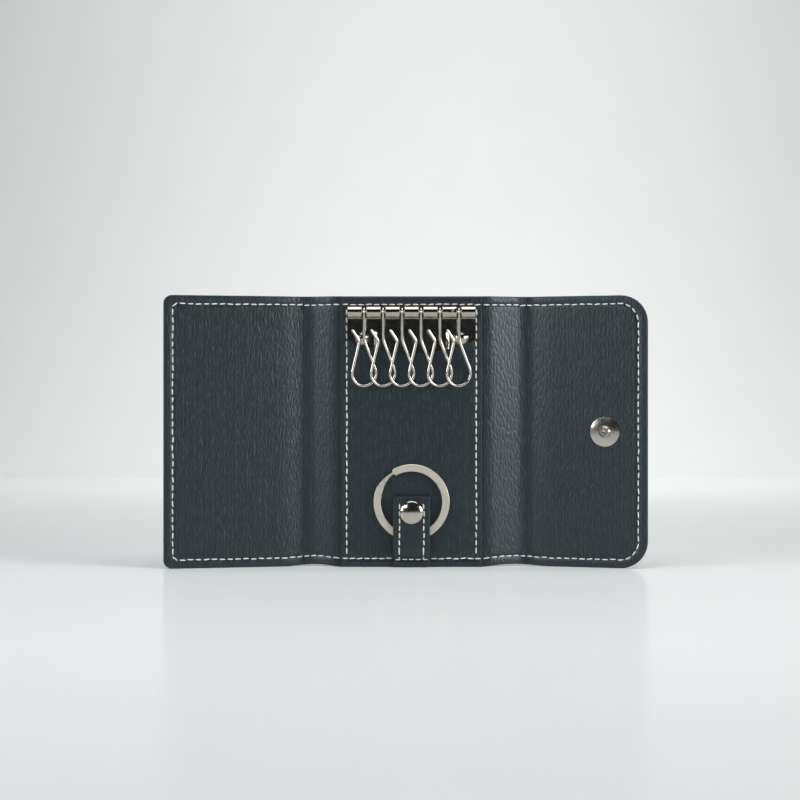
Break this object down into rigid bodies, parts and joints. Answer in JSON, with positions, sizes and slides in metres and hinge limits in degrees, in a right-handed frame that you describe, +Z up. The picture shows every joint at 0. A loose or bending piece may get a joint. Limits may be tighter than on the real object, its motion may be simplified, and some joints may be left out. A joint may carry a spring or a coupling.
{
  "type": "key case",
  "caption": "Folding leather key case, open and upright: a plate of swinging wire hooks, a split ring under a snap strap, and two flaps that snap shut.",
  "frame": {"origin": "on the ground under the middle of the centre cover, half way through its leather", "axes": "+X to the right as seen from the inner side, +Y away from the viewer, +Z up"},
  "size_m": [0.1923, 0.0184, 0.1084],
  "materials": {
    "cover_leather": "pebbled grain, dark slate",
    "lining_leather": "pebbled grain, dark slate",
    "panel_leather": "pebbled grain, dark slate",
    "stiffener_board": "pressed fibre board",
    "plate_nickel": "bright dark nickel plating",
    "hook_wire": "bright nickel plating",
    "ring_steel": "nickel plated flat spring steel",
    "snap_nickel": "bright nickel plating",
    "spring_wire": "plain spring wire"
  },
  "bodies": {
    "center": {"cover_center": "cover_leather", "center_board": "stiffener_board", "center_panel": "panel_leather", "key_plate": "plate_nickel", "hook_rod": "plate_nickel", "left_plate_rivet": "plate_nickel", "right_plate_rivet": "plate_nickel", "left_rivet_washer": "snap_nickel", "right_rivet_washer": "snap_nickel", "strap_foot": "panel_leather", "strap_snap_stud": "snap_nickel", "strap_snap_post": "snap_nickel"},
    "left_spine": {"cover_left_spine": "cover_leather", "lining_left_spine": "lining_leather", "left_inner_fold": "cover_leather", "left_outer_fold": "cover_leather"},
    "left_flap": {"cover_left": "cover_leather", "left_board": "stiffener_board", "left_lining": "lining_leather", "flap_snap_socket": "snap_nickel", "flap_snap_spring": "spring_wire", "flap_socket_post": "snap_nickel"},
    "right_spine": {"cover_right_spine": "cover_leather", "lining_right_spine": "lining_leather", "right_inner_fold": "cover_leather", "right_outer_fold": "cover_leather"},
    "right_flap": {"cover_right": "cover_leather", "right_board": "stiffener_board", "right_lining": "lining_leather", "flap_snap_stud": "snap_nickel", "flap_snap_cap": "snap_nickel"},
    "split_ring": {"split_ring": "ring_steel"},
    "ring_strap": {"ring_strap": "panel_leather", "ring_strap_backing": "panel_leather", "strap_snap_cap": "snap_nickel", "strap_snap_socket": "snap_nickel", "strap_snap_spring": "spring_wire"},
    "hook_1": {"key_hook_1": "hook_wire"},
    "hook_2": {"key_hook_2": "hook_wire"},
    "hook_3": {"key_hook_3": "hook_wire"},
    "hook_4": {"key_hook_4": "hook_wire"},
    "hook_5": {"key_hook_5": "hook_wire"},
    "hook_6": {"key_hook_6": "hook_wire"}
  },
  "joints": [
    {"name": "left_spine_fold", "type": "hinge", "parent": "center", "child": "left_spine", "pos_m": [-0.0306, 0, 0], "axis": [0, 0, 1], "range_deg": [-15, 110], "deforming": ["left_inner_fold"]},
    {"name": "left_flap_fold", "type": "hinge", "parent": "left_spine", "child": "left_flap", "pos_m": [-0.0415, 0.00397, 0], "axis": [0, 0, 1], "range_deg": [-34, 56], "deforming": ["left_outer_fold"]},
    {"name": "right_spine_fold", "type": "hinge", "parent": "center", "child": "right_spine", "pos_m": [0.0306, 0, 0], "axis": [0, 0, -1], "range_deg": [-15, 110], "deforming": ["right_inner_fold"]},
    {"name": "right_flap_fold", "type": "hinge", "parent": "right_spine", "child": "right_flap", "pos_m": [0.0461, 0.00564, 0], "axis": [0, 0, -1], "range_deg": [-39, 51], "deforming": ["right_outer_fold"]},
    {"name": "hook_1_swing", "type": "hinge", "parent": "center", "child": "hook_1", "pos_m": [-0.01887, -0.0059, 0.1018], "axis": [1, 0, 0], "range_deg": [-160, 0]},
    {"name": "hook_2_swing", "type": "hinge", "parent": "center", "child": "hook_2", "pos_m": [-0.01132, -0.0059, 0.1018], "axis": [1, 0, 0], "range_deg": [-160, 0]},
    {"name": "hook_3_swing", "type": "hinge", "parent": "center", "child": "hook_3", "pos_m": [-0.00378, -0.0059, 0.1018], "axis": [1, 0, 0], "range_deg": [-160, 0]},
    {"name": "hook_4_swing", "type": "hinge", "parent": "center", "child": "hook_4", "pos_m": [0.00378, -0.0059, 0.1018], "axis": [1, 0, 0], "range_deg": [-160, 0]},
    {"name": "hook_5_swing", "type": "hinge", "parent": "center", "child": "hook_5", "pos_m": [0.01132, -0.0059, 0.1018], "axis": [1, 0, 0], "range_deg": [-160, 0]},
    {"name": "hook_6_swing", "type": "hinge", "parent": "center", "child": "hook_6", "pos_m": [0.01887, -0.0059, 0.1018], "axis": [1, 0, 0], "range_deg": [-160, 0]},
    {"name": "ring_turn", "type": "hinge", "parent": "center", "child": "split_ring", "pos_m": [0, -0.0041, 0.026], "axis": [0, -1, 0], "continuous": true},
    {"name": "strap_open", "type": "hinge", "parent": "center", "child": "ring_strap", "pos_m": [0, -0.0071, 0.0064], "axis": [-1, 0, 0], "range_deg": [-100, 0]}
  ],
  "couplings": [
    {"joint": "hook_2_swing", "follows": "hook_1_swing", "ratio": 1},
    {"joint": "hook_3_swing", "follows": "hook_1_swing", "ratio": 1},
    {"joint": "hook_4_swing", "follows": "hook_1_swing", "ratio": 1},
    {"joint": "hook_5_swing", "follows": "hook_1_swing", "ratio": 1},
    {"joint": "hook_6_swing", "follows": "hook_1_swing", "ratio": 1}
  ]
}
